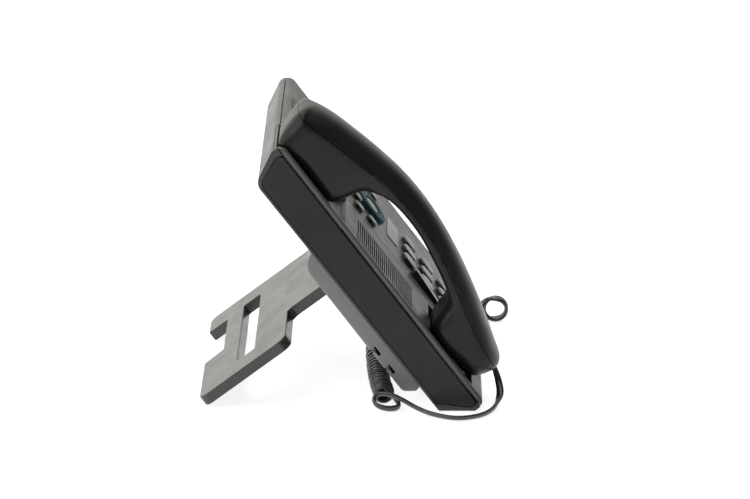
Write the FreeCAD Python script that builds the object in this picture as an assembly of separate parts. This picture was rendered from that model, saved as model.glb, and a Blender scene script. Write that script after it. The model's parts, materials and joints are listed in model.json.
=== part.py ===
import FreeCAD, Part
import math
import os

# A desk telephone: a flat body tilted up on a plug-in foot, its handset lying in a
# cradle along the left side, and a curly cord that runs behind the body.
# Everything but the cord is drawn in the body's own frame, in millimetres:
#   x  across the body, 0 in the middle, the handset on the minus side
#   u  up the slope of the body, 0 at the desk
#   v  out of the front face, towards the user
# and is then tilted about x and moved so that +Z is up and the desk is Z = 0.

V = FreeCAD.Vector

# ---- driving dimensions ----
WIDTH = 185.0             # body, side to side
TILT = 53.0               # degrees between the body's slope and the desk
DEPTH_TO_ORIGIN = 84.9    # from the body's front foot back to the origin
FACE = 7.5                # v of the front face
SPLIT = 3.3               # v of the joint between the tray and the covers
BACK = -22.5              # v of the tray's back at the top
BACK_LOW = -20.4          # v of the tray's back at the foot
TOP = 225.8               # u of the top end
WALL = 2.4
GAP = 0.3                 # clearance between separate mouldings

PANEL_SPLIT_X = -27.0     # joint between the cradle strip and the keypad cover
SEAM = 0.7                # width of that joint
FOOT_PAD = 0.8            # rubber pads' height under the body

HANDSET_X = -62.0
HANDSET_WIDTH = 49.0
CRADLE_FLOOR = 2.6        # v of the floor of both handset recesses
EAR_RECESS = (159.5, 240.0)
MOUTH_RECESS = (19.0, 62.0)
RECESS_X = (-88.6, -33.0)

HOUSING_X = 72.0
HOUSING_BACK = -36.0
HOUSING_U = (30.5, 150.0)

STAND_U = (109.6, 117.1)
STAND_FOOT = -145.2
STAND_HALF = 86.0
NECK_X = (-26.0, 62.0)
NECK_TOP = -25.0
SLOT_X = (-60.0, 61.0)
SLOT_V = (-114.5, -100.0)
NOTCH_X = (-9.0, 56.0)
NOTCH_V = -129.0

KEY_X = (1.5, 21.0, 40.5)
KEY_U = (88.5, 69.0, 49.5, 30.0)
KEY_SIZE = (15.0, 13.4)
KEY_TOP = 10.4
KEY_TRAVEL = 1.5
SMALL_KEY_SIZE = (9.5, 9.0)
FUNCTION_KEYS = {"function_key_a": (0.0, 147.0), "function_key_b": (-18.0, 144.5),
                 "function_key_c": (-13.5, 130.2), "function_key_d": (47.0, 130.2)}
SOFT_KEY_SIZE = (12.0, 6.0)
SOFT_KEY_X = (-4.0, 17.0, 38.0, 59.0)
SOFT_KEY_U = 157.5
RING = (16.5, 132.2)
RING_OUTER = 14.5
RING_INNER = 7.6
OK_RADIUS = 6.6
ROCKER_X = (-15.0, -9.2)
ROCKER_U = (51.0, 85.0)
ROCKER_AXIS = (68.0, 5.2)   # u, v of the pin it rocks on
LABEL = (5.0, 46.5, 100.0, 112.3)
WINDOW = (-14.0, 68.0, 168.0, 210.0)
LAMP = (20.0, 44.0, 214.6, 219.4)
GRILLE_X = (-88.5, -43.5)
GRILLE_U = 84.5
GRILLE_PITCH = 2.25
GRILLE_SLOTS = 27
SPEAKER = (-65.5, 113.5)

CORD_WIDTH = 5.0
COIL_DIAMETER = 15.0
JACK_U = 50.0
JACK_V = -29.5

# ---- the cord's route, in the finished frame: x, y, z with the desk at z = 0 ----
HANDSET_TAIL = [(-62.0, -95.1, 24.6), (-62.0, -98.5, 19.8), (-66.5, -102.6, 12.5), (-74.5, -104.3, 7.2),
                (-84.5, -101.8, 3.8), (-97.0, -96.2, 2.8), (-107.5, -86.8, 2.8), (-114.0, -70.5, 2.8),
                (-108.0, -54.0, 2.8), (-100.5, -43.5, 3.9), (-95.0, -34.0, 7.9), (-91.2, -26.2, 9.6),
                (-86.0, -17.8, 10.4), (-88.5, -14.5, 7.6), (-94.1, -17.5, 4.2), (-96.8, -24.0, 2.8),
                (-94.3, -30.3, 2.8), (-88.2, -33.0, 3.8), (-82.0, -30.5, 7.4), (-78.0, -24.0, 10.5)]
COIL_ROUTE = [(-79.0, -22.5, 7.7), (-66.0, -20.5, 7.7), (-38.0, -18.0, 7.7), (-6.0, -16.5, 7.7),
              (26.0, -16.0, 7.7), (58.0, -18.5, 7.7), (84.0, -27.0, 7.7), (99.5, -44.0, 7.7),
              (102.4, -66.0, 7.7), (101.0, -90.5, 7.7)]
LOOP_CENTRE = (102.0, -100.0, 9.9)
LOOP_DIAMETER = 19.6
LOOP_LENGTH = 8.5
PHONE_TAIL = [(104.5, -102.0, 2.8), (110.5, -92.5, 2.8), (113.0, -81.0, 2.8), (116.0, -70.0, 2.8),
              (119.5, -59.0, 2.8), (120.5, -47.5, 5.2), (115.5, -38.5, 10.4), (106.5, -33.0, 16.2),
              (97.0, -31.2, 20.8), (87.5, -31.2, 22.3), (78.1, -31.25, 22.2)]


# ---- drawing helpers ----
def rounded_wire(corners, to_space):
    """Closed wire of straight runs and tangent arcs; corners are (a, b, radius)."""
    bends = []
    for i, (a, b, radius) in enumerate(corners):
        here = V(a, b, 0)
        before = V(corners[i - 1][0], corners[i - 1][1], 0) - here
        after = V(corners[(i + 1) % len(corners)][0], corners[(i + 1) % len(corners)][1], 0) - here
        before.normalize()
        after.normalize()
        half = before.getAngle(after) / 2
        reach = radius / math.tan(half)
        middle = (before + after).normalize() * (radius / math.sin(half) - radius)
        bends.append((here + before * reach, here + middle, here + after * reach, radius))
    edges = []
    for i, (start, middle, end, radius) in enumerate(bends):
        last = bends[i - 1][2]
        if last.distanceToPoint(start) > 1e-6:
            edges.append(Part.LineSegment(to_space(last), to_space(start)).toShape())
        if radius > 0:
            edges.append(Part.Arc(to_space(start), to_space(middle), to_space(end)).toShape())
    return Part.Wire(edges)


def side_prism(corners, x0, x1):
    """Outline in the (u, v) side plane, pushed across from x0 to x1."""
    wire = rounded_wire(corners, lambda p: V(x0, p.x, p.y))
    return Part.Face(wire).extrude(V(x1 - x0, 0, 0))


def plan_prism(corners, v0, v1):
    """Outline in the (x, u) face plane, pushed out from v0 to v1."""
    wire = rounded_wire(corners, lambda p: V(p.x, p.y, v0))
    return Part.Face(wire).extrude(V(0, 0, v1 - v0))


def end_prism(corners, u0, u1):
    """Outline in the (x, v) plane, pushed up the slope from u0 to u1."""
    wire = rounded_wire(corners, lambda p: V(p.x, u0, p.y))
    return Part.Face(wire).extrude(V(0, u1 - u0, 0))


def rectangle(x0, x1, u0, u1, radius):
    return [(x0, u0, radius), (x1, u0, radius), (x1, u1, radius), (x0, u1, radius)]


def block(x0, x1, u0, u1, v0, v1):
    return Part.makeBox(x1 - x0, u1 - u0, v1 - v0, V(x0, u0, v0))


def disc(x, u, v0, v1, radius):
    return Part.makeCylinder(radius, v1 - v0, V(x, u, v0), V(0, 0, 1))


def edges_in_plane(shape, axis, value):
    """Edges that lie wholly in the plane where coordinate number axis has this value."""
    found = []
    for edge in shape.Edges:
        box = edge.BoundBox
        low = (box.XMin, box.YMin, box.ZMin)[axis]
        high = (box.XMax, box.YMax, box.ZMax)[axis]
        if abs(low - value) < 0.01 and abs(high - value) < 0.01:
            found.append(edge)
    return found


def soften(shape, radius, *planes):
    """Round the edges in each (axis, value) plane."""
    edges = []
    for axis, value in planes:
        edges += edges_in_plane(shape, axis, value)
    return shape.makeFillet(radius, edges)


def desk_u(v, height=0.0):
    """The u at which a line of this v stands this high over the desk."""
    slope = math.radians(TILT)
    return (height - v * math.cos(slope)) / math.sin(slope)


def inset(corners, distance):
    """The same convex outline, drawn this much smaller all round."""
    area = 0.0
    for i, (a, b, _) in enumerate(corners):
        area += corners[i - 1][0] * b - a * corners[i - 1][1]
    turn = 1.0 if area > 0 else -1.0
    lines = []
    for i, (a, b, _) in enumerate(corners):
        c, d, _ = corners[(i + 1) % len(corners)]
        run = V(c - a, d - b, 0).normalize()
        inward = V(-run.y, run.x, 0) * turn
        lines.append((V(a, b, 0) + inward * distance, run))
    smaller = []
    for i, (_, _, radius) in enumerate(corners):
        (p, r), (q, s) = lines[i - 1], lines[i]
        along = ((q - p).x * s.y - (q - p).y * s.x) / (r.x * s.y - r.y * s.x)
        point = p + r * along
        smaller.append((point.x, point.y, max(radius - distance, 0.5)))
    return smaller


# ---- outlines of the body, seen from its side ----
BODY_SIDE = [(desk_u(BACK_LOW, FOOT_PAD), BACK_LOW, 1.5), (desk_u(-1.0, FOOT_PAD), -1.0, 2.0),
             (2.2, FACE, 5.0), (TOP, FACE, 6.5), (TOP - 0.3, -1.2, 5.0), (TOP - 11.5, BACK, 9.0)]
TRIM_SIDE = [(desk_u(BACK_LOW, 4.0) + 1.2, BACK_LOW + 1.9, 1.5), (desk_u(-2.0, 2.6) + 0.8, -2.0, 2.0),
             (5.4, SPLIT - 0.3, 2.0), (TOP - 3.6, SPLIT - 0.3, 3.5), (TOP - 13.5, BACK + 2.0, 8.0)]
HOUSING_SIDE = [(HOUSING_U[0] + 5.0, -12.0, 0), (HOUSING_U[0], -28.5, 3.0),
                (HOUSING_U[0] + 5.5, HOUSING_BACK, 5.0), (HOUSING_U[1], HOUSING_BACK, 12.0),
                (HOUSING_U[1], -12.0, 0)]
HOUSING_HOLLOW = [(HOUSING_U[0] + 5.2, -12.0, 0.5), (HOUSING_U[0] + 2.8, -28.0, 2.0),
                  (HOUSING_U[0] + 7.2, HOUSING_BACK + WALL, 4.0),
                  (HOUSING_U[1] - WALL, HOUSING_BACK + WALL, 9.0), (HOUSING_U[1] - WALL, -12.0, 0.5)]


# ---- body mouldings ----
def tray_shell():
    half = WIDTH / 2
    outer = side_prism(BODY_SIDE, -half, half).common(block(-half, half, -20, 260, -60, SPLIT))
    cavity = side_prism(inset(BODY_SIDE, WALL), -half + 5.0, half - 5.0)
    shell = outer.cut(cavity)
    pocket = [(u, v, radius) for u, v, radius in inset(TRIM_SIDE, -0.35)]
    for side in (-1, 1):
        inner = side * (half - 2.2)
        cutter = side_prism(pocket, min(inner, side * 100), max(inner, side * 100))
        above = cutter.translated(V(0, 0, 4)).common(block(-100, 100, 12, TOP - 6, 0, 20))
        shell = shell.cut(cutter.fuse(above))
    for u0, u1 in ((EAR_RECESS[0] - 5, 260), (MOUTH_RECESS[0] - 5, MOUTH_RECESS[1] + 5)):
        shell = shell.cut(block(RECESS_X[0] - WALL, RECESS_X[1] + WALL, u0, u1, 0.4, 10))
    shell = shell.cut(block(-HOUSING_X + 12, HOUSING_X - 12, 44, 136, -40, -18))
    for x, u in SCREW_PLACES:
        shell = shell.cut(disc(x, u, -40, BACK + 5, 3.3))
    return shell


SCREW_PLACES = [(-80.0, 165.0), (80.0, 165.0), (-80.0, 60.0), (80.0, 60.0)]


def base_screws():
    screws = []
    for x, u in SCREW_PLACES:
        head = disc(x, u, BACK + 2.6, BACK + 5.0, 3.1)
        slots = block(x - 0.5, x + 0.5, u - 2, u + 2, BACK + 2, BACK + 3.6)
        cross = block(x - 2, x + 2, u - 0.5, u + 0.5, BACK + 2, BACK + 3.6)
        screws.append(head.fuse(disc(x, u, BACK + 4, BACK + 14, 1.5)).cut(slots.fuse(cross)))
    return Part.makeCompound(screws)


def side_trim(side):
    half = WIDTH / 2
    inner, outer = side * (half - 2.1), side * (half - 0.1)
    plate = side_prism(TRIM_SIDE, min(inner, outer), max(inner, outer))
    return soften(plate, 0.5, (0, outer))


def cover_blank(x0, x1):
    """A stretch of the front moulding: a plate with a short skirt at its outer edges."""
    blank = side_prism(BODY_SIDE, x0, x1).common(block(x0, x1, -20, 260, SPLIT + 0.6, 20))
    hollow = side_prism(inset(BODY_SIDE, WALL), x0 + WALL, x1 - WALL)
    return blank.cut(hollow)


def recess(u0, u1, lower_run, upper_run):
    """The hollow that a handset cup drops into, with sloping end walls."""
    profile = [(u0 - lower_run, FACE + 2, 0), (u0, CRADLE_FLOOR, 3.0), (u1, CRADLE_FLOOR, 3.0),
               (u1 + upper_run, FACE + 2, 0)]
    return side_prism(profile, RECESS_X[0], RECESS_X[1])


def cradle_panel():
    half = WIDTH / 2
    panel = cover_blank(-half, PANEL_SPLIT_X - SEAM / 2)
    ear_tub = block(RECESS_X[0] - 1.4, RECESS_X[1] + 1.4, EAR_RECESS[0] - 4, 260,
                    CRADLE_FLOOR - 1.8, FACE - 0.6)
    mouth_tub = block(RECESS_X[0] - 1.4, RECESS_X[1] + 1.4, MOUTH_RECESS[0] - 4, MOUTH_RECESS[1] + 4,
                      CRADLE_FLOOR - 1.8, FACE - 0.6)
    inside = side_prism(inset(BODY_SIDE, 0.01), -half + 1, PANEL_SPLIT_X - 1)
    panel = panel.fuse(ear_tub.fuse(mouth_tub).common(inside)).removeSplitter()
    panel = panel.cut(recess(EAR_RECESS[0], EAR_RECESS[1], 4.0, 1.0))
    panel = panel.cut(recess(MOUTH_RECESS[0], MOUTH_RECESS[1], 3.0, 4.5))
    slots = []
    for i in range(GRILLE_SLOTS):
        u = GRILLE_U + i * GRILLE_PITCH
        slots.append(plan_prism(rectangle(*GRILLE_X, u - 0.55, u + 0.55, 0.5), 0, 20))
    panel = panel.cut(Part.makeCompound(slots))
    panel = panel.cut(block(-76.5, -67.5, 50.3, 59.7, -5, 8))
    return soften(panel, 1.6, (0, -half))


def front_cover():
    half = WIDTH / 2
    cover = cover_blank(PANEL_SPLIT_X + SEAM / 2, half)
    cover = soften(cover, 1.6, (0, half))
    openings = [plan_prism(rectangle(*WINDOW, 3.0), 0, 20)]
    for x, u, width, height in all_key_places():
        openings.append(oval(x, u, width + 0.8, height + 0.8, 0, 20))
    openings.append(disc(*RING, 0, 20, RING_OUTER + 0.4))
    openings.append(plan_prism(rectangle(ROCKER_X[0] - 0.4, ROCKER_X[1] + 0.4, ROCKER_U[0] - 0.8,
                                         ROCKER_U[1] + 0.8, 3.1), 0, 20))
    openings.append(plan_prism(rectangle(*LAMP, 2.3), 0, 20))
    for opening in openings:
        cover = cover.cut(opening)
    return cover


# ---- keys ----
def oval(x, u, width, height, v0, v1):
    """A rounded key outline, nearly an ellipse."""
    radius = min(width, height) / 2 - 0.05
    outline = rectangle(x - width / 2, x + width / 2, u - height / 2, u + height / 2, radius)
    return plan_prism(outline, v0, v1)


def key_cap(x, u, width, height, top):
    cap = soften(oval(x, u, width, height, 3.6, top), 1.0, (2, top))
    flange = oval(x, u, width + 2.4, height + 2.4, 3.3, 4.8)
    return cap.fuse(flange)


def all_key_places():
    places = [(x, u, *KEY_SIZE) for u in KEY_U for x in KEY_X]
    places += [(x, u, *SMALL_KEY_SIZE) for x, u in FUNCTION_KEYS.values()]
    places += [(x, SOFT_KEY_U, *SOFT_KEY_SIZE) for x in SOFT_KEY_X]
    return places


def keypad_keys():
    names = ["1", "2", "3", "4", "5", "6", "7", "8", "9", "star", "0", "hash"]
    caps = {}
    for i, name in enumerate(names):
        caps["key_" + name] = key_cap(KEY_X[i % 3], KEY_U[i // 3], *KEY_SIZE, KEY_TOP)
    for name, (x, u) in FUNCTION_KEYS.items():
        caps[name] = key_cap(x, u, *SMALL_KEY_SIZE, KEY_TOP - 0.4)
    for i, x in enumerate(SOFT_KEY_X):
        caps["soft_key_%d" % (i + 1)] = key_cap(x, SOFT_KEY_U, *SOFT_KEY_SIZE, KEY_TOP - 1.0)
    return caps


def navigation_ring():
    ring = disc(*RING, 3.6, 10.8, RING_OUTER).fuse(disc(*RING, 3.3, 4.8, RING_OUTER + 1.4))
    ring = ring.cut(disc(*RING, 0, 20, RING_INNER))
    return soften(ring, 1.0, (2, 10.8))


def ok_key():
    return soften(disc(*RING, 3.6, 10.2, OK_RADIUS), 0.8, (2, 10.2))


def volume_rocker():
    low, high = ROCKER_U
    profile = [(low, 5.6, 0.5), (low, 9.6, 1.6), (high, 12.4, 2.2), (high, 5.6, 0.5)]
    bar = side_prism(profile, *ROCKER_X).common(plan_prism(rectangle(*ROCKER_X, low, high, 2.8), 0, 20))
    return bar.fuse(rocker_pin(1.3))


def rocker_pin(radius):
    """The round pin under the rocker, lying across it."""
    return Part.makeCylinder(radius, ROCKER_X[1] - ROCKER_X[0], V(ROCKER_X[0], *ROCKER_AXIS), V(1, 0, 0))


def volume_pivot():
    """The post under the rocker's middle, with a trough that its pin lies in."""
    post = block(ROCKER_X[0] + 1, ROCKER_X[1] - 1, ROCKER_AXIS[0] - 2.4, ROCKER_AXIS[0] + 2.4, 1.7, 4.7)
    return post.cut(rocker_pin(1.6))


# ---- display, lamp and inner parts ----
def display_window():
    x0, x1, u0, u1 = WINDOW
    pane = plan_prism(rectangle(x0 + GAP, x1 - GAP, u0 + GAP, u1 - GAP, 2.7), FACE - 1.6, FACE + 0.5)
    return soften(pane, 0.4, (2, FACE + 0.5))


def lcd_module():
    x0, x1, u0, u1 = WINDOW
    return block(x0 + 2, x1 - 2, u0 + 2, u1 - 2, 1.9, FACE - 1.8)


def label_plate():
    x0, x1, u0, u1 = LABEL
    return soften(plan_prism(rectangle(x0, x1, u0, u1, 1.5), FACE, FACE + 0.5), 0.3, (2, FACE + 0.5))


def message_lamp():
    x0, x1, u0, u1 = LAMP
    lens = plan_prism(rectangle(x0 + GAP, x1 - GAP, u0 + GAP, u1 - GAP, 2.0), 4.0, FACE + 0.8)
    return soften(lens, 0.6, (2, FACE + 0.8))


def main_board():
    board = block(-26, 84, 24, 214, -2.6, -1.0)
    for x, u in ((-20, 30), (78, 30), (-20, 208), (78, 208)):
        board = board.cut(disc(x, u, -4, 1, 1.8))
    return board


def keypad_mat():
    mat = plan_prism(rectangle(-22.5, 74, 19.5, 165, 4), -0.8, 0.6)
    domes = []
    for x, u, width, height in all_key_places():
        domes.append(disc(x, u, 0.5, 1.6, min(width, height) * 0.3))
    for x, u in ((0, 0), (-11, 0), (11, 0), (0, -11), (0, 11)):
        domes.append(disc(RING[0] + x, RING[1] + u, 0.5, 1.6, 2.4))
    return mat.fuse(domes).removeSplitter()


def loudspeaker():
    x, u = SPEAKER
    basket = Part.makeCone(9, 19, 7, V(x, u, -6), V(0, 0, 1))
    rim = disc(x, u, 1, 2.6, 21)
    magnet = disc(x, u, -12, -5.5, 9)
    return magnet.fuse(basket).fuse(rim)


def hook_plunger():
    post = block(-76, -68, 50.8, 59.2, -4.6, 2.9)
    flange = block(-77.4, -66.6, 49.4, 60.6, -4.6, -3.2)
    return post.fuse(flange)


def hook_switch():
    return block(-77, -65, 48, 62, -13.0, -7.6)


# ---- rear housing and stand ----
def rear_housing():
    outer = side_prism(HOUSING_SIDE, -HOUSING_X, HOUSING_X)
    outer = soften(outer, 1.4, (0, -HOUSING_X), (0, HOUSING_X))
    outer = outer.cut(side_prism(inset(BODY_SIDE, -0.1), -100, 100))
    hollow = side_prism(HOUSING_HOLLOW, -HOUSING_X + WALL, HOUSING_X - WALL)
    housing = outer.cut(hollow)
    sleeve = block(NECK_X[0] - 2.4, NECK_X[1] + 2.4, STAND_U[0] - 2.6, STAND_U[1] + 2.6,
                   HOUSING_BACK + 0.5, -23.4)
    socket = block(NECK_X[0] - GAP, NECK_X[1] + GAP, STAND_U[0] - GAP, STAND_U[1] + GAP, -60, -24.6)
    housing = housing.fuse(sleeve).cut(socket)
    housing = housing.cut(block(8, 42, 53, 71, -60, -30))
    jack_window = block(HOUSING_X - 6, HOUSING_X + 6, JACK_U - 6.6, JACK_U + 6.6,
                        JACK_V - 4.6, JACK_V + 4.6)
    housing = housing.cut(jack_window)
    for u in (71.0, 55.0):
        housing = housing.cut(block(-HOUSING_X - 1, -HOUSING_X + 5, u - 1.6, u + 1.6, -40,
                                    HOUSING_BACK + 4.5))
        housing = housing.cut(block(-HOUSING_X - 1, -HOUSING_X + 5, u - 5.4, u - 1.6, HOUSING_BACK + 2.3,
                                    HOUSING_BACK + 4.5))
    return housing


def jack_block():
    """Two network sockets side by side, mouths facing back."""
    body = block(8.4, 41.6, 53.4, 70.6, HOUSING_BACK + 0.6, -18)
    for x in (17.0, 33.0):
        body = body.cut(block(x - 5.9, x + 5.9, 57, 65, -60, HOUSING_BACK + 14))
        body = body.cut(block(x - 3.2, x + 3.2, 65, 67.6, -60, HOUSING_BACK + 14))
    return body


def handset_jack():
    body = block(HOUSING_X - 15, HOUSING_X - 0.6, JACK_U - 6.3, JACK_U + 6.3, JACK_V - 3.8, JACK_V + 4.3)
    mouth = block(HOUSING_X - 10, HOUSING_X + 5, JACK_U - 4.1, JACK_U + 4.1, JACK_V - 2.3, JACK_V + 2.3)
    latch_groove = block(HOUSING_X - 10, HOUSING_X + 5, JACK_U - 1.9, JACK_U + 1.9, JACK_V - 4.5, JACK_V)
    return body.cut(mouth.fuse(latch_groove))


def phone_plug():
    front = block(HOUSING_X - 9, HOUSING_X + 1, JACK_U - 3.8, JACK_U + 3.8, JACK_V - 2.1, JACK_V + 2.1)
    rear = block(HOUSING_X, HOUSING_X + 6, JACK_U - 3.4, JACK_U + 3.4, JACK_V - 1.9, JACK_V + 1.9)
    latch = block(HOUSING_X - 8.6, HOUSING_X + 4, JACK_U - 1.5, JACK_U + 1.5, JACK_V - 3.4, JACK_V - 2.6)
    web = block(HOUSING_X - 8.6, HOUSING_X - 6.6, JACK_U - 1.5, JACK_U + 1.5, JACK_V - 3.0, JACK_V)
    return front.fuse(rear).fuse(latch).fuse(web).removeSplitter()


def stand():
    outline = [(-STAND_HALF, STAND_FOOT, 7.0), (NOTCH_X[0] - 2.5, STAND_FOOT, 1.5),
               (NOTCH_X[0], NOTCH_V, 1.2), (NOTCH_X[1], NOTCH_V, 1.2),
               (NOTCH_X[1], STAND_FOOT, 1.5), (STAND_HALF, STAND_FOOT, 7.0),
               (STAND_HALF, -52.0, 6.0), (NECK_X[1], -52.0, 3.0), (NECK_X[1], NECK_TOP, 1.0),
               (NECK_X[0], NECK_TOP, 1.0), (NECK_X[0], -73.0, 5.0), (-STAND_HALF, -73.0, 7.0)]
    slot = end_prism([(SLOT_X[0], SLOT_V[0], 2.0), (SLOT_X[1], SLOT_V[0], 2.0), (SLOT_X[1], SLOT_V[1], 2.0),
                      (SLOT_X[0], SLOT_V[1], 2.0)], 90, 130)
    plate = end_prism(outline, *STAND_U).cut(slot)
    return soften(plate, 0.9, (1, STAND_U[0]), (1, STAND_U[1]))


def base_feet():
    pads = []
    for x0, x1 in ((-84.0, -52.0), (52.0, 84.0)):
        low, high = -17.5, -3.5
        outline = [(desk_u(low), low, 0.2), (desk_u(high), high, 0.2),
                   (desk_u(high, FOOT_PAD), high, 0.2), (desk_u(low, FOOT_PAD), low, 0.2)]
        pads.append(side_prism(outline, x0, x1))
    return Part.makeCompound(pads)


# ---- handset ----
HANDSET_SIDE = [(236.5, 36.3, 9.0), (226.5, 3.4, 6.0), (169.6, 3.4, 7.0), (165.5, 41.8, 13.0),
                (125.0, 42.6, 100.0), (70.0, 31.5, 9.0), (62.5, 3.4, 7.0), (21.0, 3.4, 7.0),
                (12.4, 31.6, 9.0), (111.2, 56.8, 180.0), (161.8, 56.8, 180.0)]


def handset_solid(trim):
    """The handset's outer form, or with trim above 0 the same form drawn that much smaller."""
    x0 = HANDSET_X - HANDSET_WIDTH / 2 + trim
    wire = rounded_wire(HANDSET_SIDE, lambda p: V(x0, p.x, p.y))
    if trim > 0:
        wire = wire.makeOffset2D(-trim)
    return Part.Face(wire).extrude(V(HANDSET_WIDTH - 2 * trim, 0, 0))


def above_handset_joint(lift):
    """Everything on the crown side of the arched joint between the two handset shells."""
    x0 = HANDSET_X - 40
    curve = Part.Arc(V(x0, 250, 20.5 + lift), V(x0, 135, 46.5 + lift), V(x0, 6, 21.5 + lift)).toShape()
    ends = [curve.valueAt(curve.FirstParameter), curve.valueAt(curve.LastParameter)]
    start = max(ends, key=lambda point: point.y)
    end = min(ends, key=lambda point: point.y)
    edges = [curve, Part.LineSegment(end, V(x0, end.y, 90)).toShape(),
             Part.LineSegment(V(x0, end.y, 90), V(x0, start.y, 90)).toShape(),
             Part.LineSegment(V(x0, start.y, 90), start).toShape()]
    return Part.Face(Part.Wire(edges)).extrude(V(80, 0, 0))


def handset_shells():
    solid = handset_solid(0)
    half = HANDSET_WIDTH / 2
    solid = soften(solid, 6.0, (0, HANDSET_X - half), (0, HANDSET_X + half))
    core = handset_solid(3.4)
    crown = solid.common(above_handset_joint(0.15)).cut(core)
    crown = crown.cut(handset_plug_room())
    inner = solid.cut(above_handset_joint(-0.15)).cut(core)
    inner = inner.cut(handset_plug_room())
    for i in range(7):
        angle = i * math.pi / 3
        reach = 0 if i == 6 else 7
        x = HANDSET_X + reach * math.cos(angle)
        inner = inner.cut(disc(x, 198 + reach * math.sin(angle), 0, 8, 1.2))
    for x in (-5, 0, 5):
        inner = inner.cut(disc(HANDSET_X + x, 36, 0, 8, 1.0))
    return crown, inner


def handset_plug_room():
    return block(HANDSET_X - 4.2, HANDSET_X + 4.2, 10, 33, 20.4, 25.4)


def handset_plug():
    nose = block(HANDSET_X - 3.9, HANDSET_X + 3.9, 13.9, 30, 20.8, 25.0)
    return soften(nose, 0.4, (2, 20.8), (2, 25.0))


def receiver_capsule():
    return disc(HANDSET_X, 198, 7.2, 14, 15).fuse(disc(HANDSET_X, 198, 13, 17, 9))


def microphone_capsule():
    return disc(HANDSET_X, 40, 7.2, 13, 5)


def handset_weight():
    return soften(block(HANDSET_X - 9, HANDSET_X + 9, 104, 144, 46.8, 50), 1.0, (2, 46.8), (2, 50))


# ---- cord ----
def bent_path(points):
    """Straight runs joined by tangent arcs, each as large as its two runs allow."""
    spots = [V(*point) for point in points]
    edges = []
    last = spots[0]
    tightest = None
    for before, here, after in zip(spots, spots[1:], spots[2:]):
        back, ahead = before - here, after - here
        shorter = min(back.Length, ahead.Length)
        back.normalize()
        ahead.normalize()
        turn = math.pi - back.getAngle(ahead)
        reach = 0.45 * shorter
        radius = reach / math.tan(turn / 2)
        tightest = radius if tightest is None else min(tightest, radius)
        start, end = here + back * reach, here + ahead * reach
        middle = here + (back + ahead).normalize() * (radius / math.cos(turn / 2) - radius)
        edges.append(Part.LineSegment(last, start).toShape())
        edges.append(Part.Arc(start, middle, end).toShape())
        last = end
    edges.append(Part.LineSegment(last, spots[-1]).toShape())
    return Part.Wire(edges), tightest


def tube(name, points, diameter):
    path, tightest = bent_path(points)
    start = path.Edges[0].valueAt(path.Edges[0].FirstParameter)
    along = path.Edges[0].tangentAt(path.Edges[0].FirstParameter)
    ring = Part.Wire(Part.makeCircle(diameter / 2, start, along))
    solid = path.makePipeShell([ring], True, False)
    expected = math.pi * diameter ** 2 / 4 * path.Length
    print("%s: length %.0f mm, tightest radius %.1f mm, volume %.3f of section x length"
          % (name, path.Length, tightest, solid.Volume / expected))
    return solid


# ---- assembly ----
def stood_up(shape):
    """From the body's own frame to the finished one."""
    turned = shape.copy()
    turned.rotate(V(0, 0, 0), V(1, 0, 0), TILT)
    turned.translate(V(0, -DEPTH_TO_ORIGIN, 0))
    return turned


def body_parts():
    crown, inner = handset_shells()
    parts = {"tray_shell": tray_shell(), "cradle_panel": cradle_panel(), "front_cover": front_cover(),
             "side_trim_left": side_trim(-1), "side_trim_right": side_trim(1), "base_screws": base_screws(),
             "base_feet": base_feet(), "rear_housing": rear_housing(), "stand": stand(),
             "display_window": display_window(), "lcd_module": lcd_module(), "label_plate": label_plate(),
             "message_lamp": message_lamp(), "main_board": main_board(), "keypad_mat": keypad_mat(),
             "loudspeaker": loudspeaker(), "hook_plunger": hook_plunger(), "hook_switch": hook_switch(),
             "jack_block": jack_block(), "handset_jack": handset_jack(), "phone_plug": phone_plug(),
             "handset_outer_shell": crown, "handset_inner_shell": inner, "handset_plug": handset_plug(),
             "receiver_capsule": receiver_capsule(), "microphone_capsule": microphone_capsule(),
             "handset_weight": handset_weight(), "navigation_ring": navigation_ring(), "ok_key": ok_key(),
             "volume_rocker": volume_rocker(), "volume_pivot": volume_pivot()}
    parts.update(keypad_keys())
    return {name: stood_up(shape) for name, shape in parts.items()}


def cord_loop():
    """One turn of the cord that has sprung open and stands on the desk beside the body."""
    x, y, z = LOOP_CENTRE
    return Part.makeCylinder(LOOP_DIAMETER / 2, LOOP_LENGTH, V(x - LOOP_LENGTH / 2, y, z), V(1, 0, 0))


def cord_parts():
    return {"cord_loop": cord_loop(),
            "cord_tail_handset": tube("cord_tail_handset", HANDSET_TAIL, CORD_WIDTH),
            "cord_coil": tube("cord_coil", COIL_ROUTE, COIL_DIAMETER),
            "cord_tail_phone": tube("cord_tail_phone", PHONE_TAIL, CORD_WIDTH)}


def main():
    os.makedirs("parts", exist_ok=True)
    for old in os.listdir("parts"):
        os.remove(os.path.join("parts", old))
    parts = body_parts()
    whole = Part.makeCompound(list(parts.values())).optimalBoundingBox(False, False)
    print("body and stand: x %.1f..%.1f  y %.1f..%.1f  z %.1f..%.1f"
          % (whole.XMin, whole.XMax, whole.YMin, whole.YMax, whole.ZMin, whole.ZMax))
    parts.update(cord_parts())
    for name, shape in sorted(parts.items()):
        shape.exportStep("parts/%s.step" % name)
        print("%-20s solids %d  valid %s  volume %.0f"
              % (name, len(shape.Solids), shape.isValid(), shape.Volume))


main()
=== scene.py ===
import json
import math

import bmesh
import bpy
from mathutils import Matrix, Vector
from mathutils.geometry import delaunay_2d_cdt


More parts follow.
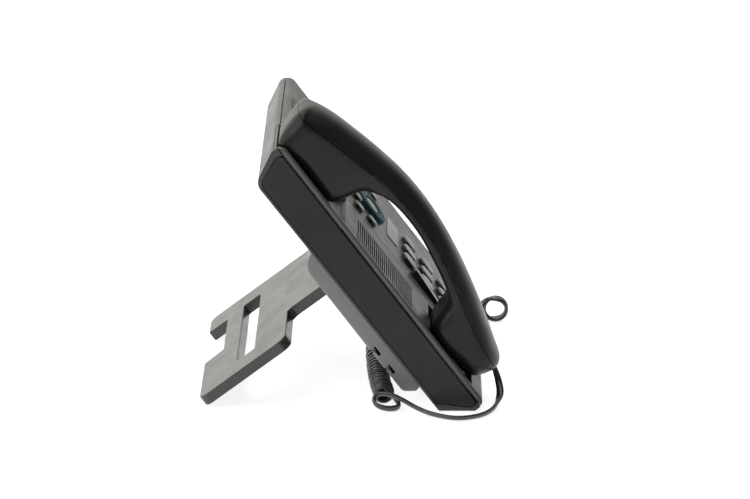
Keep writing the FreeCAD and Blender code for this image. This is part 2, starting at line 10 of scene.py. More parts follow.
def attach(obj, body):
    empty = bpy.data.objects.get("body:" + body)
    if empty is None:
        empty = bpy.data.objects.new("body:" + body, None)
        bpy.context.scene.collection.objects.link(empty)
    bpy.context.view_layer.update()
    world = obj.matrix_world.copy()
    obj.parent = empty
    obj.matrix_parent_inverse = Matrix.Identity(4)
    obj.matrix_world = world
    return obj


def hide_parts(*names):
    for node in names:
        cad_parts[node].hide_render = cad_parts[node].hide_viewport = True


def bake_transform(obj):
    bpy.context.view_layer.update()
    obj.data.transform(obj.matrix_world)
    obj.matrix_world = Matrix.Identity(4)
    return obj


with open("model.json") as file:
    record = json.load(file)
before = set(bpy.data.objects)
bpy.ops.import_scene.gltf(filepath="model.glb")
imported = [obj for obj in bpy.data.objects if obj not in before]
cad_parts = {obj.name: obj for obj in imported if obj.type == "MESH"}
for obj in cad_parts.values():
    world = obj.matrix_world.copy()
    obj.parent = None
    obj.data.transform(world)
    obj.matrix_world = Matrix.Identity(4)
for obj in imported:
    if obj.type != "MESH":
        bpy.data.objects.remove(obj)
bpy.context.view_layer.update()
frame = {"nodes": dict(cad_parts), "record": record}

# ---- the body's own frame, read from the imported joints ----
# x runs across the body, u up its slope and v out of its face, all in metres
JOINTS = {joint["name"]: joint for joint in frame["record"]["behaviour"]["joints"]}
OUT = Vector(JOINTS["handset_lift"]["axis"])
UP_SLOPE = Vector((0, OUT.z, -OUT.y))
ROCKER_PIVOT = (-0.0121, 0.068, 0.0052)
FRAME_ORIGIN = Vector(JOINTS["volume_rock"]["pos_m"]) - Vector((ROCKER_PIVOT[0], 0, 0)) \
    - UP_SLOPE * ROCKER_PIVOT[1] - OUT * ROCKER_PIVOT[2]


def on_body(x, u, v):
    """A point given in the body's own frame, as a point in the row frame."""
    return FRAME_ORIGIN + Vector((x, 0, 0)) + UP_SLOPE * u + OUT * v


# ---- materials ----
def node_material(name):
    material = bpy.data.materials.new(name)
    material.use_nodes = True
    nodes = material.node_tree.nodes
    return material, nodes, material.node_tree.links, nodes["Principled BSDF"]


def noise_node(nodes, links, scale, detail, roughness=0.55):
    place = nodes.new("ShaderNodeTexCoord")
    noise = nodes.new("ShaderNodeTexNoise")
    noise.inputs["Scale"].default_value = scale
    noise.inputs["Detail"].default_value = detail
    noise.inputs["Roughness"].default_value = roughness
    links.new(place.outputs["Object"], noise.inputs["Vector"])
    return noise


def spread(nodes, links, source, low, high, source_low=0.3, source_high=0.7):
    """The noise stretched to run from low to high."""
    ranger = nodes.new("ShaderNodeMapRange")
    ranger.inputs["From Min"].default_value = source_low
    ranger.inputs["From Max"].default_value = source_high
    ranger.inputs["To Min"].default_value = low
    ranger.inputs["To Max"].default_value = high
    links.new(source, ranger.inputs["Value"])
    return ranger.outputs["Result"]


def tinted(nodes, links, factor, dark, light):
    mix = nodes.new("ShaderNodeMix")
    mix.data_type = "RGBA"
    mix.inputs["A"].default_value = (*dark, 1)
    mix.inputs["B"].default_value = (*light, 1)
    links.new(factor, mix.inputs["Factor"])
    return mix.outputs["Result"]


def moulded(name, dark, light, roughness, grain=2600.0, depth=0.00003, sheen=0.0, coat=0.0, specular=0.5):
    """Moulded plastic: an eroded grain, slow colour drift and fingertip patches in its gloss."""
    material, nodes, links, shader = node_material(name)
    drift = noise_node(nodes, links, 24.0, 4.0)
    links.new(tinted(nodes, links, spread(nodes, links, drift.outputs["Fac"], 0, 1), dark, light),
              shader.inputs["Base Color"])
    patches = noise_node(nodes, links, 60.0, 3.0)
    links.new(spread(nodes, links, patches.outputs["Fac"], roughness - 0.05, roughness + 0.06),
              shader.inputs["Roughness"])
    pits = noise_node(nodes, links, grain, 2.0, 0.6)
    bump = nodes.new("ShaderNodeBump")
    bump.inputs["Strength"].default_value = 0.5
    bump.inputs["Distance"].default_value = depth
    links.new(pits.outputs["Fac"], bump.inputs["Height"])
    links.new(bump.outputs["Normal"], shader.inputs["Normal"])
    shader.inputs["Sheen Weight"].default_value = sheen
    shader.inputs["Coat Weight"].default_value = coat
    shader.inputs["Coat Roughness"].default_value = 0.2
    shader.inputs["Specular IOR Level"].default_value = specular
    return material


def brushed(name, dark, light, roughness):
    material, nodes, links, shader = node_material(name)
    streaks = noise_node(nodes, links, 900.0, 5.0)
    links.new(tinted(nodes, links, spread(nodes, links, streaks.outputs["Fac"], 0, 1), dark, light),
              shader.inputs["Base Color"])
    links.new(spread(nodes, links, streaks.outputs["Fac"], roughness - 0.08, roughness + 0.1),
              shader.inputs["Roughness"])
    shader.inputs["Metallic"].default_value = 1.0
    return material


MATERIALS = {
    "black_abs": moulded("black_shell", (0.020, 0.020, 0.018), (0.030, 0.030, 0.028), 0.36, specular=0.5),
    "trim_abs": moulded("trim_satin", (0.010, 0.010, 0.009), (0.015, 0.015, 0.014), 0.42, 3200.0, 0.00002,
                        specular=0.30),
    "cradle_abs": moulded("cradle_grey", (0.066, 0.067, 0.063), (0.082, 0.083, 0.078), 0.42, specular=0.45),
    "cover_abs": moulded("cover_grey", (0.070, 0.071, 0.067), (0.084, 0.085, 0.081), 0.42, specular=0.42),
    "housing_abs": moulded("housing_grey", (0.175, 0.176, 0.177), (0.215, 0.216, 0.217), 0.42),
    "stand_abs": moulded("stand_grey", (0.024, 0.024, 0.023), (0.032, 0.032, 0.030), 0.25, specular=0.62),
    "handset_abs": moulded("handset_black", (0.008, 0.008, 0.007), (0.012, 0.012, 0.011), 0.34,
                           3000.0, 0.00002, specular=0.25),
    "foot_rubber": moulded("foot_rubber", (0.018, 0.018, 0.018), (0.034, 0.034, 0.034), 0.85,
                           1500.0, 0.00008),
    "window_pane": moulded("window_pane", (0.020, 0.022, 0.020), (0.030, 0.033, 0.030), 0.09,
                           40.0, 0.000002, coat=0.4),
    "label_pc": moulded("label_cover", (0.044, 0.045, 0.044), (0.056, 0.057, 0.055), 0.30, 60.0, 0.000004),
    "lamp_red": moulded("lamp_lens", (0.040, 0.026, 0.025), (0.052, 0.034, 0.032), 0.42, 200.0, 0.00001),
    "board_green": moulded("solder_mask", (0.006, 0.06, 0.03), (0.012, 0.10, 0.05), 0.35, 700.0, 0.00003),
    "board_parts": moulded("switch_body", (0.02, 0.02, 0.022), (0.035, 0.035, 0.038), 0.5),
    "mat_rubber": moulded("silicone_mat", (0.09, 0.09, 0.09), (0.13, 0.13, 0.13), 0.8, 900.0, 0.00005),
    "plunger_pom": moulded("plunger", (0.07, 0.07, 0.07), (0.10, 0.10, 0.10), 0.35),
    "jack_pbt": moulded("jack_body", (0.010, 0.010, 0.011), (0.018, 0.018, 0.019), 0.45),
    "plug_clear": moulded("plug_body", (0.05, 0.05, 0.052), (0.075, 0.075, 0.078), 0.12,
                          80.0, 0.000005, coat=0.6),
    "teal_pc": moulded("teal_ring", (0.006, 0.040, 0.048), (0.012, 0.060, 0.072), 0.55, 900.0, 0.00001,
                       specular=0.12),
    "key_rubber": moulded("key_black", (0.006, 0.006, 0.006), (0.011, 0.011, 0.010), 0.30, 3000.0, 0.00002),
    "key_print": moulded("key_print", (0.42, 0.42, 0.41), (0.55, 0.55, 0.54), 0.5, 2000.0, 0.00001),
    "cord_pvc": moulded("cord_pvc", (0.016, 0.016, 0.015), (0.026, 0.025, 0.023), 0.27, 1400.0, 0.00001,
                        specular=0.7),
    "screw_steel": brushed("screw_steel", (0.30, 0.30, 0.31), (0.45, 0.45, 0.46), 0.35),
    "lcd_metal": brushed("lcd_frame", (0.35, 0.37, 0.35), (0.5, 0.52, 0.5), 0.4),
    "speaker_metal": brushed("speaker_metal", (0.05, 0.05, 0.055), (0.09, 0.09, 0.095), 0.45),
    "weight_steel": brushed("weight_steel", (0.35, 0.35, 0.35), (0.45, 0.45, 0.45), 0.4),
}

SLOT_OF_NODE = {row["node"]: row["material_slot"] for row in frame["record"]["subparts"]}


def dress_cad_nodes():
    for node, piece in frame["nodes"].items():
        material = MATERIALS[SLOT_OF_NODE[node]]
        if not piece.data.materials:
            piece.data.materials.append(material)
        for i in range(len(piece.material_slots)):
            piece.material_slots[i].material = material


def new_piece(name, data, slot_name, body=None):
    piece = bpy.data.objects.new(name, data)
    bpy.context.scene.collection.objects.link(piece)
    if not data.materials:
        data.materials.append(MATERIALS[slot_name])
    if body:
        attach(piece, body)
    return piece


def mesh_from(name, build):
    """A mesh made by a function that fills a bmesh."""
    shape = bmesh.new()
    build(shape)
    bmesh.ops.recalc_face_normals(shape, faces=shape.faces)
    data = bpy.data.meshes.new(name)
    shape.to_mesh(data)
    shape.free()
    return data


# ---- camera, light and floor ----
CAMERA_TURN = math.radians(0.5)       # the camera stands this far round from square to the side
CAMERA_TILT = math.radians(17.0)
CAMERA_AWAY = 2.797
LOOK_AT = Vector((0.0, -0.0154, 0.0848))
LENS = 196.8
TENT_LEAN = (1.0, 1.7, 0.2)
TENT_DARK_FROM = -0.5
TENT_BRIGHT_FROM = 0.8
TENT_DARK = 0.06
TENT_BRIGHT = 1.25


def add_camera():
    data = bpy.data.cameras.new("camera")
    data.lens = LENS
    data.sensor_width = 36.0
    data.clip_end = 20.0
    camera = bpy.data.objects.new("camera", data)
    bpy.context.scene.collection.objects.link(camera)
    level = math.cos(CAMERA_TILT)
    ahead = Vector((math.cos(CAMERA_TURN) * level, math.sin(CAMERA_TURN) * level, -math.sin(CAMERA_TILT)))
    camera.location = LOOK_AT - ahead * CAMERA_AWAY
    camera.rotation_euler = ahead.to_track_quat("-Z", "Y").to_euler()
    bpy.context.scene.camera = camera


def add_light(name, place, target, size, power):
    data = bpy.data.lights.new(name, "AREA")
    data.shape = "RECTANGLE"
    data.size, data.size_y = size
    data.energy = power
    lamp = bpy.data.objects.new(name, data)
    bpy.context.scene.collection.objects.link(lamp)
    lamp.location = place
    lamp.rotation_euler = (Vector(target) - Vector(place)).to_track_quat("-Z", "Y").to_euler()


def light_tent(nodes, links):
    """White all round, but dark on the user's side and where the camera looks from."""
    place = nodes.new("ShaderNodeTexCoord")
    lean = nodes.new("ShaderNodeVectorMath")
    lean.operation = "DOT_PRODUCT"
    lean.inputs[1].default_value = TENT_LEAN
    links.new(place.outputs["Generated"], lean.inputs[0])
    ranger = nodes.new("ShaderNodeMapRange")
    ranger.interpolation_type = "SMOOTHSTEP"
    ranger.inputs["From Min"].default_value = TENT_DARK_FROM
    ranger.inputs["From Max"].default_value = TENT_BRIGHT_FROM
    ranger.inputs["To Min"].default_value = TENT_DARK
    ranger.inputs["To Max"].default_value = TENT_BRIGHT
    links.new(lean.outputs["Value"], ranger.inputs["Value"])
    links.new(ranger.outputs["Result"], nodes["Background"].inputs["Strength"])
    nodes["Background"].inputs["Color"].default_value = (1.0, 1.0, 0.95, 1)


def add_studio():
    world = bpy.data.worlds.new("studio")
    bpy.context.scene.world = world
    world.use_nodes = True
    light_tent(world.node_tree.nodes, world.node_tree.links)
    bpy.context.scene.view_settings.view_transform = "Standard"
    add_light("top_softbox", (0.1, 0.1, 1.7), (0, 0, 0.1), (1.6, 1.6), 10)
    add_light("user_side_softbox", (-0.3, -1.5, 0.9), (0, 0, 0.1), (1.0, 1.2), 0.6)
    add_light("stand_side_softbox", (-0.6, 1.4, 0.9), (0, 0.1, 0.05), (1.0, 1.0), 4)
    floor_size = 9.0
    floor_mesh = mesh_from("floor", lambda shape: bmesh.ops.create_grid(shape, x_segments=8, y_segments=8,
                                                                         size=floor_size))
    floor = bpy.data.objects.new("floor", floor_mesh)
    bpy.context.scene.collection.objects.link(floor)
    material, nodes, links, shader = node_material("floor_paper")
    paper = noise_node(nodes, links, 3.0, 3.0)
    links.new(tinted(nodes, links, paper.outputs["Fac"], (0.50, 0.50, 0.50), (0.54, 0.54, 0.54)),
              shader.inputs["Base Color"])
    shader.inputs["Roughness"].default_value = 0.9
    shader.inputs["Specular IOR Level"].default_value = 0.1
    shader.inputs["Emission Color"].default_value = (1.0, 1.0, 1.0, 1)
    shader.inputs["Emission Strength"].default_value = 0.85
    floor_mesh.materials.append(material)


# ---- cord ----
CORD_WIDTH = 0.005
CORD_THICKNESS = 0.0028
FLOOR_HEIGHT = CORD_THICKNESS / 2 + 0.0002
COIL_RADIUS = 0.0061                   # to the middle of the cord
COIL_PITCH = 0.0064
COIL_SLIP = ((0.0014, 41.0, 0.0), (0.0011, 97.0, 1.0))   # uneven spacing of turns: size, rate, phase
COIL_BREATHING = 0.02                  # the share by which the turns' size wanders
BREATHING_RATE = 150.0
POINTS_A_TURN = 14
RING_SPACING = 0.0014
LOOP_REACH = 1.4                       # how near, in radii, the cord counts as part of the loop
COIL_REACH = 1.5
TIPPED_REACH = 0.004
LEAN_START = 0.02                      # how far left of the handset's middle the tail begins to lean
WIDTH_SMOOTHING = 5                    # rings each way over which the broad side's turn is evened out
NEAR_UPRIGHT = 0.05                    # a cord closer to upright than this has no level side
ROUTE_STEPS = 24                       # points in each part of the coil's route
SECTION_SIDES = 12
TAIL_HEIGHT = 0.0023                   # the tail leans on one edge where it lies on the desk
TAIL_LEAN = Vector((-0.75, 0.0, 0.66))
HANDSET_TAIL = [(-0.062, -0.0940, 0.0258), (-0.062, -0.0968, 0.0198), (-0.0665, -0.0992, 0.0125),
                (-0.0745, -0.1003, 0.0072), (-0.0845, -0.0980, 0.0037), (-0.0970, -0.0935, TAIL_HEIGHT),
                (-0.1075, -0.0850, TAIL_HEIGHT), (-0.1130, -0.0700, TAIL_HEIGHT),
                (-0.1040, -0.0540, TAIL_HEIGHT), (-0.0960, -0.0440, 0.0038), (-0.0928, -0.0345, 0.0086),
                (-0.0905, -0.0262, 0.0118)]
# the coil's first turn has tipped over on to the desk
TIPPED_TURN = [(-0.0862, -0.0178, 0.0108), (-0.0894, -0.0147, 0.0072), (-0.0934, -0.0175, 0.0044),
               (-0.0952, -0.0240, 0.0030), (-0.0932, -0.0304, 0.0027), (-0.0880, -0.0328, 0.0031),
               (-0.0830, -0.0300, 0.0052)]
TIPPED_AXIS = Vector((-0.57, 0.0, 0.82))
COIL_ROUTE = [(-0.0790, -0.0225, 0.0077), (-0.0660, -0.0205, 0.0077),
              (-0.038, -0.018, 0.0077), (-0.006, -0.0165, 0.0077), (0.026, -0.016, 0.0077),
              (0.058, -0.0185, 0.0077), (0.084, -0.027, 0.0077), (0.0995, -0.044, 0.0077),
              (0.1024, -0.066, 0.0077), (0.1010, -0.0905, 0.0077)]
LOOP_CENTRE = Vector((0.102, -0.1000, 0.0099))
LOOP_RADIUS = 0.0082
LOOP_TURNS = 1.5
LOOP_STEPS = 18
LOOP_START = -0.0028                   # across the body, from the loop's centre
LOOP_RUN = 0.0062
TO_LOOP = [Vector((0.1042, -0.0918, 0.0146)), Vector((0.1035, -0.0955, 0.0172))]
PHONE_TAIL = [(0.1060, -0.0905, FLOOR_HEIGHT), (0.1100, -0.0800, FLOOR_HEIGHT),
              (0.1150, -0.0700, FLOOR_HEIGHT), (0.1195, -0.0590, FLOOR_HEIGHT),
              (0.1205, -0.0475, 0.0052), (0.1155, -0.0385, 0.0104),
              (0.1065, -0.0330, 0.0162), (0.097, -0.0312, 0.0208), (0.0875, -0.0312, 0.0223),
              (0.078, -0.03125, 0.0222)]


def spline_points(points, resolution):
    """The smooth line that has these as its control points, as Blender draws it."""
    data = bpy.data.curves.new("route", "CURVE")
    data.dimensions = "3D"
    data.resolution_u = resolution
    spline = data.splines.new("NURBS")
    spline.points.add(len(points) - 1)
    for place, point in zip(spline.points, points):
        place.co = (*point, 1)
    spline.order_u = 3
    spline.use_endpoint_u = True
    holder = bpy.data.objects.new("route", data)
    mesh = bpy.data.meshes.new_from_object(holder)
    line = [vertex.co.copy() for vertex in mesh.vertices]
    bpy.data.objects.remove(holder)
    bpy.data.curves.remove(data)
    bpy.data.meshes.remove(mesh)
    return line


def lengths_along(line):
    total = [0.0]
    for a, b in zip(line, line[1:]):
        total.append(total[-1] + (b - a).length)
    return total


def resampled(line, spacing):
    total = lengths_along(line)
    count = max(2, round(total[-1] / spacing))
    even = []
    i = 0
    for k in range(count + 1):
        target = total[-1] * k / count
        while i < len(line) - 2 and total[i + 1] < target:
            i += 1
        span = total[i + 1] - total[i]
        even.append(line[i].lerp(line[i + 1], (target - total[i]) / span if span else 0))
    return even


def coil_points():
    """Helix about the coil's route, its turns slightly uneven as a used cord's are."""
    axis = resampled(spline_points(COIL_ROUTE, ROUTE_STEPS), 0.001)
    total = lengths_along(axis)
    turns = round(total[-1] / COIL_PITCH)
    count = round(turns * POINTS_A_TURN)
    points = []
    for k in range(count + 1):
        share = k / count
        uneven = sum(size * math.sin(share * rate + phase) for size, rate, phase in COIL_SLIP)
        where = min(max(share * total[-1] + uneven * math.sin(share * math.pi), 0), total[-1])
        i = min(int(where / total[-1] * (len(axis) - 1)), len(axis) - 2)
        centre = axis[i].lerp(axis[i + 1], where / total[-1] * (len(axis) - 1) - i)
        ahead = (axis[i + 1] - axis[i]).normalized()
        side = ahead.cross(Vector((0, 0, 1))).normalized()
        angle = math.pi / 2 + 2 * math.pi * turns * share
        radius = COIL_RADIUS * (1 + COIL_BREATHING * math.sin(share * BREATHING_RATE))
        lift = radius - COIL_RADIUS
        up = Vector((0, 0, radius * math.sin(angle) + lift))
        points.append(centre + side * radius * math.cos(angle) + up)
    return points


def loop_points():
    """One and a half open turns that stand on the desk, about an axis across the body."""
    points = []
    for k in range(LOOP_STEPS + 1):
        angle = math.pi / 2 + 2 * math.pi * LOOP_TURNS * k / LOOP_STEPS
        across = LOOP_START + LOOP_RUN * k / LOOP_STEPS
        around = Vector((across, LOOP_RADIUS * math.cos(angle), LOOP_RADIUS * math.sin(angle)))
        points.append(LOOP_CENTRE + around)
    return points


def level_across(heading):
    """The flat cord lies on its broad side."""
    level = heading.cross(Vector((0, 0, 1)))
    return level.normalized() if level.length > NEAR_UPRIGHT else Vector((1, 0, 0))


def heading_at(line, i):
    return (line[min(i + 1, len(line) - 1)] - line[max(i - 1, 0)]).normalized()


def width_directions(line, guides):
    """Which way the cord's broad side lies at each point: guides holds a direction, or None for level."""
    widths = []
    last = None
    for i, guide in enumerate(guides):
        heading = heading_at(line, i)
        wide = guide if guide else level_across(heading)
        wide = (wide - heading * wide.dot(heading)).normalized()
        if last and wide.dot(last) < 0:
            wide = -wide
        widths.append(wide)
        last = wide
    reach = WIDTH_SMOOTHING
    return [sum(widths[max(0, i - reach):i + reach + 1], Vector()).normalized() for i in range(len(widths))]


def cord_mesh(line, widths):
    def build(shape):
        rings = []
        for i, place in enumerate(line):
            heading = heading_at(line, i)
            wide = (widths[i] - heading * widths[i].dot(heading)).normalized()
            thick = heading.cross(wide)
            ring = []
            for k in range(SECTION_SIDES):
                angle = 2 * math.pi * k / SECTION_SIDES
                offset = wide * CORD_WIDTH / 2 * math.cos(angle)
                offset += thick * CORD_THICKNESS / 2 * math.sin(angle)
                ring.append(shape.verts.new(place + offset))
            rings.append(ring)
        for a, b in zip(rings, rings[1:]):
            for k in range(SECTION_SIDES):
                face = shape.faces.new((a[k], a[(k + 1) % SECTION_SIDES], b[(k + 1) % SECTION_SIDES], b[k]))
                face.smooth = True
        shape.faces.new(rings[0][::-1])
        shape.faces.new(rings[-1])
    return mesh_from("curly_cord", build)


def add_cord():
    tail_in = [Vector(p) for p in HANDSET_TAIL]
    tipped = [Vector(p) for p in TIPPED_TURN]
    control = tail_in + tipped + coil_points() + TO_LOOP + loop_points() + [Vector(p) for p in PHONE_TAIL]
    line = resampled(spline_points(control, 8), RING_SPACING)
    axis = resampled(spline_points(COIL_ROUTE, ROUTE_STEPS), 0.004)
    guides = []
    for place in line:
        i = min(range(1, len(axis) - 1), key=lambda k: (axis[k] - place).length)
        guide = None
        if (place - LOOP_CENTRE).length < LOOP_RADIUS * LOOP_REACH and place.y < COIL_ROUTE[-1][1]:
            guide = Vector((1, 0, 0))
        elif (axis[i] - place).length < COIL_RADIUS * COIL_REACH:
            guide = (axis[i + 1] - axis[i - 1]).normalized()
        elif min((p - place).length for p in tipped[1:]) < TIPPED_REACH:
            guide = TIPPED_AXIS
        elif place.x < HANDSET_X - LEAN_START and place.y < TIPPED_TURN[0][1]:
            guide = TAIL_LEAN
        guides.append(guide)
    widths = width_directions(line, guides)
    cord = new_piece("curly_cord", cord_mesh(line, widths), "cord_pvc")
    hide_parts("cord_tail_handset", "cord_coil", "cord_loop", "cord_tail_phone")
    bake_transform(cord)


# ---- handset ----
# Its outline from the side, as (u, v, rounding across, rounding in the outline), going
# from the foot of the ear cup up its end, along the crown and back under the grip
HANDSET_X = -0.062
HANDSET_HALF = 0.0245
CROWN = (0.0228, 0.0118)
CUP_END = (0.0120, 0.0085)
CUP_WALL = (0.0110, 0.0080)
CUP_FOOT = (0.0150, 0.0090)
CUP_EDGE = (0.0070, 0.0045)
MOUTH_END = (0.0215, 0.0140)
MOUTH_FOOT = (0.0210, 0.0125)
GRIP_UNDER = (0.0060, 0.0035)
HANDSET_OUTLINE = [
    (0.2215, 0.0034, CUP_EDGE), (0.2266, 0.0058, CUP_EDGE), (0.2305, 0.0150, CUP_END),
    (0.2328, 0.0235, CUP_END), (0.2328, 0.0305, CUP_END), (0.2287, 0.0358, CROWN),
    (0.2210, 0.0395, CROWN), (0.2110, 0.0430, CROWN), (0.1980, 0.0464, CROWN),
    (0.1870, 0.0490, CROWN), (0.1740, 0.0518, CROWN), (0.1610, 0.0540, CROWN),
    (0.1460, 0.0554, CROWN), (0.1300, 0.0556, CROWN), (0.1100, 0.0540, CROWN),
    (0.0900, 0.0508, CROWN), (0.0740, 0.0473, CROWN), (0.0590, 0.0435, CROWN),
    (0.0400, 0.0381, CROWN), (0.0250, 0.0333, CROWN), (0.0155, 0.0300, MOUTH_END),
    (0.0118, 0.0258, MOUTH_END), (0.0114, 0.0205, MOUTH_END), (0.0134, 0.0130, MOUTH_END),
    (0.0176, 0.0070, MOUTH_FOOT), (0.0240, 0.0042, MOUTH_FOOT), (0.0330, 0.0038, MOUTH_FOOT),
    (0.0450, 0.0038, CUP_FOOT), (0.0560, 0.0038, CUP_FOOT), (0.0615, 0.0060, CUP_FOOT),
    (0.0648, 0.0115, CUP_WALL), (0.0674, 0.0190, CUP_WALL), (0.0700, 0.0258, CUP_WALL),
    (0.0745, 0.0306, GRIP_UNDER), (0.0850, 0.0340, GRIP_UNDER), (0.1000, 0.0372, GRIP_UNDER),
    (0.1180, 0.0402, GRIP_UNDER), (0.1360, 0.0406, GRIP_UNDER), (0.1500, 0.0387, GRIP_UNDER),
    (0.1580, 0.0352, GRIP_UNDER), (0.1640, 0.0290, CUP_WALL), (0.1668, 0.0210, CUP_WALL),
    (0.1685, 0.0130, CUP_WALL), (0.1707, 0.0062, CUP_FOOT), (0.1755, 0.0038, CUP_FOOT),
    (0.1900, 0.0038, CUP_FOOT), (0.2060, 0.0038, CUP_FOOT)]
# the arched joint between the two shells, as (u, v)
HANDSET_JOINT = [(0.2600, 0.0225), (0.2335, 0.0262), (0.2180, 0.0296), (0.2000, 0.0345), (0.1760, 0.0405),
                 (0.1500, 0.0450), (0.1280, 0.0465), (0.1050, 0.0446), (0.0800, 0.0392), (0.0550, 0.0322),
                 (0.0300, 0.0276), (0.0150, 0.0250), (-0.0100, 0.0215)]
JOINT_GROOVE = 0.0004
OUTLINE_STEPS = 5
ROUNDING_STEPS = 8
SIDE_GRID = 0.003
SIDE_SWELL = 0.0010
SWELL_START = 0.004
SWELL_REACH = 0.010
SIDE_LENGTH = 0.240                    # the side view's grid covers this much of u and v
SIDE_HEIGHT = 0.060
ROW_SLACK = 0.00015                    # a row's point this much nearer the edge than its row still counts
SAME_PLACE = 0.00001
CUTTER_TOP = 0.12
CUTTER_REACH = 0.05                    # to each side of the handset's middle
SHARP_ANGLE = 40


def smooth_loop(values, steps):
    """Closed Catmull-Rom run through rows of numbers."""
    count = len(values)
    rows = []
    for i in range(count):
        a, b, c, d = (values[(i + k) % count] for k in (-1, 0, 1, 2))
        for k in range(steps):
            t = k / steps
            rows.append([0.5 * (2 * q + (r - p) * t + (2 * p - 5 * q + 4 * r - s) * t * t
                                + (3 * q - p - 3 * r + s) * t * t * t) for p, q, r, s in zip(a, b, c, d)])
    return rows


def from_run(start, end, place):
    """Distance to one run of the outline, and the rounding where it is nearest."""
    run_u, run_v = end[0] - start[0], end[1] - start[1]
    along = ((place[0] - start[0]) * run_u + (place[1] - start[1]) * run_v) / (run_u ** 2 + run_v ** 2)
    along = min(max(along, 0), 1)
    away = math.hypot(place[0] - start[0] - run_u * along, place[1] - start[1] - run_v * along)
    return away, start[2] + (end[2] - start[2]) * along, start[3] + (end[3] - start[3]) * along


def nearest_on(outline, place):
    return min(from_run(outline[i - 1], corner, place) for i, corner in enumerate(outline))


def side_points(outline):
    """Points over the handset's side view: rows that follow its edge, then an even grid."""
    count = len(outline)
    points = [(u, v) for u, v, _, _ in outline]
    for k in range(1, ROUNDING_STEPS + 1):
        share = 1 - math.cos(k / ROUNDING_STEPS * math.pi / 2)
        for i, (u, v, _, inside) in enumerate(outline):
            along = Vector(outline[(i + 1) % count][:2]) - Vector(outline[i - 1][:2])
            inward = Vector((-along.y, along.x)).normalized() * inside * share
            place = (u + inward.x, v + inward.y)
            if nearest_on(outline, place)[0] > inside * share - ROW_SLACK:
                points.append(place)
    for i in range(int(SIDE_LENGTH / SIDE_GRID)):
        for j in range(int(SIDE_HEIGHT / SIDE_GRID)):
            place = (i * SIDE_GRID, j * SIDE_GRID)
            away, _, inside = nearest_on(outline, place)
            if away > inside + SIDE_GRID / 2 and is_inside(outline, place):
                points.append(place)
    return points


def is_inside(outline, place):
    crossings = 0
    for i, (u, v, _, _) in enumerate(outline):
        last_u, last_v = outline[i - 1][:2]
        if (v > place[1]) != (last_v > place[1]):
            crossings += place[0] < last_u + (place[1] - last_v) / (v - last_v) * (u - last_u)
    return crossings % 2 == 1


def half_width(outline, place):
    """How far the surface stands out from the handset's middle at a point of the side view."""
    nearest = 1.0
    drop = 0.0
    for i, corner in enumerate(outline):
        away, across, inside = from_run(outline[i - 1], corner, place)
        nearest = min(nearest, away)
        share = min(away / inside, 1)
        drop = max(drop, across * (1 - math.sqrt(1 - (1 - share) ** 2)))
    swell = SIDE_SWELL * min(max(nearest - SWELL_START, 0) / SWELL_REACH, 1)
    return HANDSET_HALF - SIDE_SWELL - drop + swell


def handset_form():
    """The whole handset as one closed mesh, in the body's own frame: x, u, v."""
    outline = smooth_loop([(u, v, *rounding) for u, v, rounding in HANDSET_OUTLINE], OUTLINE_STEPS)
    count = len(outline)
    places, _, faces, _, _, _ = delaunay_2d_cdt([Vector(p) for p in side_points(outline)], [],
                                                [list(range(count))], 1, SAME_PLACE)
    halves = [half_width(outline, place) for place in places]

    def build(shape):
        sheets = [[shape.verts.new((HANDSET_X + side * half, place.x, place.y))
                   for place, half in zip(places, halves)] for side in (-1, 1)]
        for face in faces:
            shape.faces.new([sheets[0][i] for i in face])
            shape.faces.new([sheets[1][i] for i in reversed(face)])
        rim = [edge for edge in shape.edges if edge.is_boundary]
        bmesh.ops.bridge_loops(shape, edges=rim)
    return mesh_from("handset_form", build)


def joint_cutter(lift):
    """A block that fills everything on the crown side of the joint."""
    curve = [(u, v + lift) for u, v in HANDSET_JOINT]
    fine = smooth_loop([curve[0]] + curve + [curve[-1]], 6)[6:6 * len(curve) + 1]
    edge = [tuple(p) for p in fine] + [(fine[-1][0], CUTTER_TOP), (fine[0][0], CUTTER_TOP)]

    def build(shape):
        sides = [[shape.verts.new((HANDSET_X + x, u, v)) for u, v in edge]
                 for x in (-CUTTER_REACH, CUTTER_REACH)]
        for i in range(len(edge)):
            j = (i + 1) % len(edge)
            shape.faces.new((sides[0][i], sides[0][j], sides[1][j], sides[1][i]))
        shape.faces.new(sides[0][::-1])
        shape.faces.new(sides[1])
    return mesh_from("joint_cutter", build)


def cut_mesh(name, data, cutter_data, operation):
    """The first mesh cut by, or kept within, the second."""
    target = bpy.data.objects.new("target", data)
    cutter = bpy.data.objects.new("cutter", cutter_data)
    for thing in (target, cutter):
        bpy.context.scene.collection.objects.link(thing)
    cut = target.modifiers.new("cut", "BOOLEAN")
    cut.object = cutter
    cut.operation = operation
    cut.solver = "MANIFOLD"
    bpy.context.view_layer.update()
    ready = target.evaluated_get(bpy.context.evaluated_depsgraph_get())
    result = bpy.data.meshes.new_from_object(ready)
    result.name = name
    for thing in (target, cutter):
        bpy.data.objects.remove(thing)
    return result


def stand_up(data):
    """Moves a mesh from the body's own frame into the row frame."""
    for vertex in data.vertices:
        vertex.co = on_body(*vertex.co)


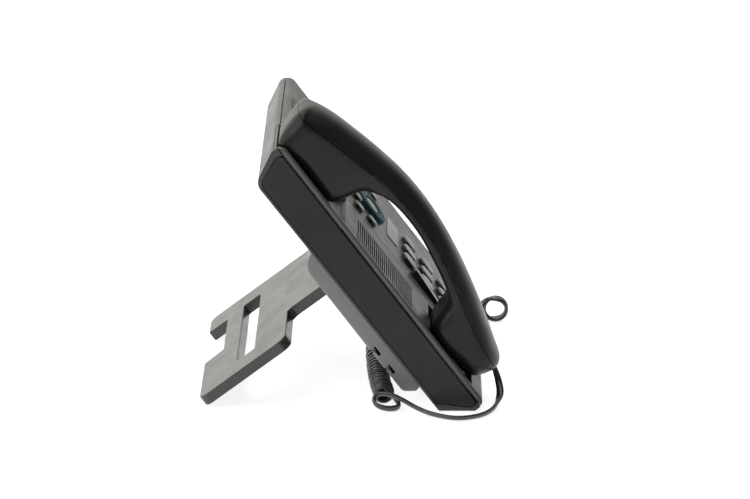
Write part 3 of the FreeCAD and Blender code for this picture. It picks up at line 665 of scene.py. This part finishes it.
def shade_by_angle(data, degrees):
    data.polygons.foreach_set("use_smooth", [True] * len(data.polygons))
    data.set_sharp_from_angle(angle=math.radians(degrees))


def add_handset():
    form = handset_form()
    shells = [("handset_crown", "handset_outer_shell", "INTERSECT", JOINT_GROOVE / 2),
              ("handset_cups", "handset_inner_shell", "DIFFERENCE", -JOINT_GROOVE / 2)]
    for name, node, operation, lift in shells:
        shell = cut_mesh(name, form, joint_cutter(lift), operation)
        stand_up(shell)
        shade_by_angle(shell, SHARP_ANGLE)
        shell.materials.clear()
        piece = new_piece(name, shell, "handset_abs", "handset")
        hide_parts(node)


# ---- digits on the keys ----
KEY_MARKS = {"key_1": "1", "key_2": "2", "key_3": "3", "key_4": "4", "key_5": "5", "key_6": "6",
             "key_7": "7", "key_8": "8", "key_9": "9", "key_star": "*", "key_0": "0", "key_hash": "#"}
MARK_SIZE = 0.0062
MARK_THICKNESS = 0.00006


def to_body(point):
    """The opposite of on_body."""
    away = Vector(point) - FRAME_ORIGIN
    return away.x, away.dot(UP_SLOPE), away.dot(OUT)


def mark_mesh(name, text):
    data = bpy.data.curves.new(name, "FONT")
    data.body = text
    data.size = MARK_SIZE
    data.align_x = "CENTER"
    data.align_y = "CENTER"
    data.extrude = MARK_THICKNESS / 2
    data.resolution_u = 4
    holder = bpy.data.objects.new(name, data)
    mesh = bpy.data.meshes.new_from_object(holder)
    bpy.data.objects.remove(holder)
    bpy.data.curves.remove(data)
    return mesh


def add_key_marks():
    for node, text in KEY_MARKS.items():
        key = frame["nodes"][node]
        corners = [to_body(key.matrix_world @ vertex.co) for vertex in key.data.vertices]
        x = (min(c[0] for c in corners) + max(c[0] for c in corners)) / 2
        u = (min(c[1] for c in corners) + max(c[1] for c in corners)) / 2
        top = max(c[2] for c in corners)
        mark = mark_mesh(node + "_mark", text)
        for vertex in mark.vertices:
            vertex.co = on_body(x + vertex.co.x, u + vertex.co.y, top + vertex.co.z + MARK_THICKNESS / 4)
        new_piece(node + "_mark", mark, "key_print", node)


add_camera()
add_studio()
dress_cad_nodes()
add_cord()
add_handset()
add_key_marks()
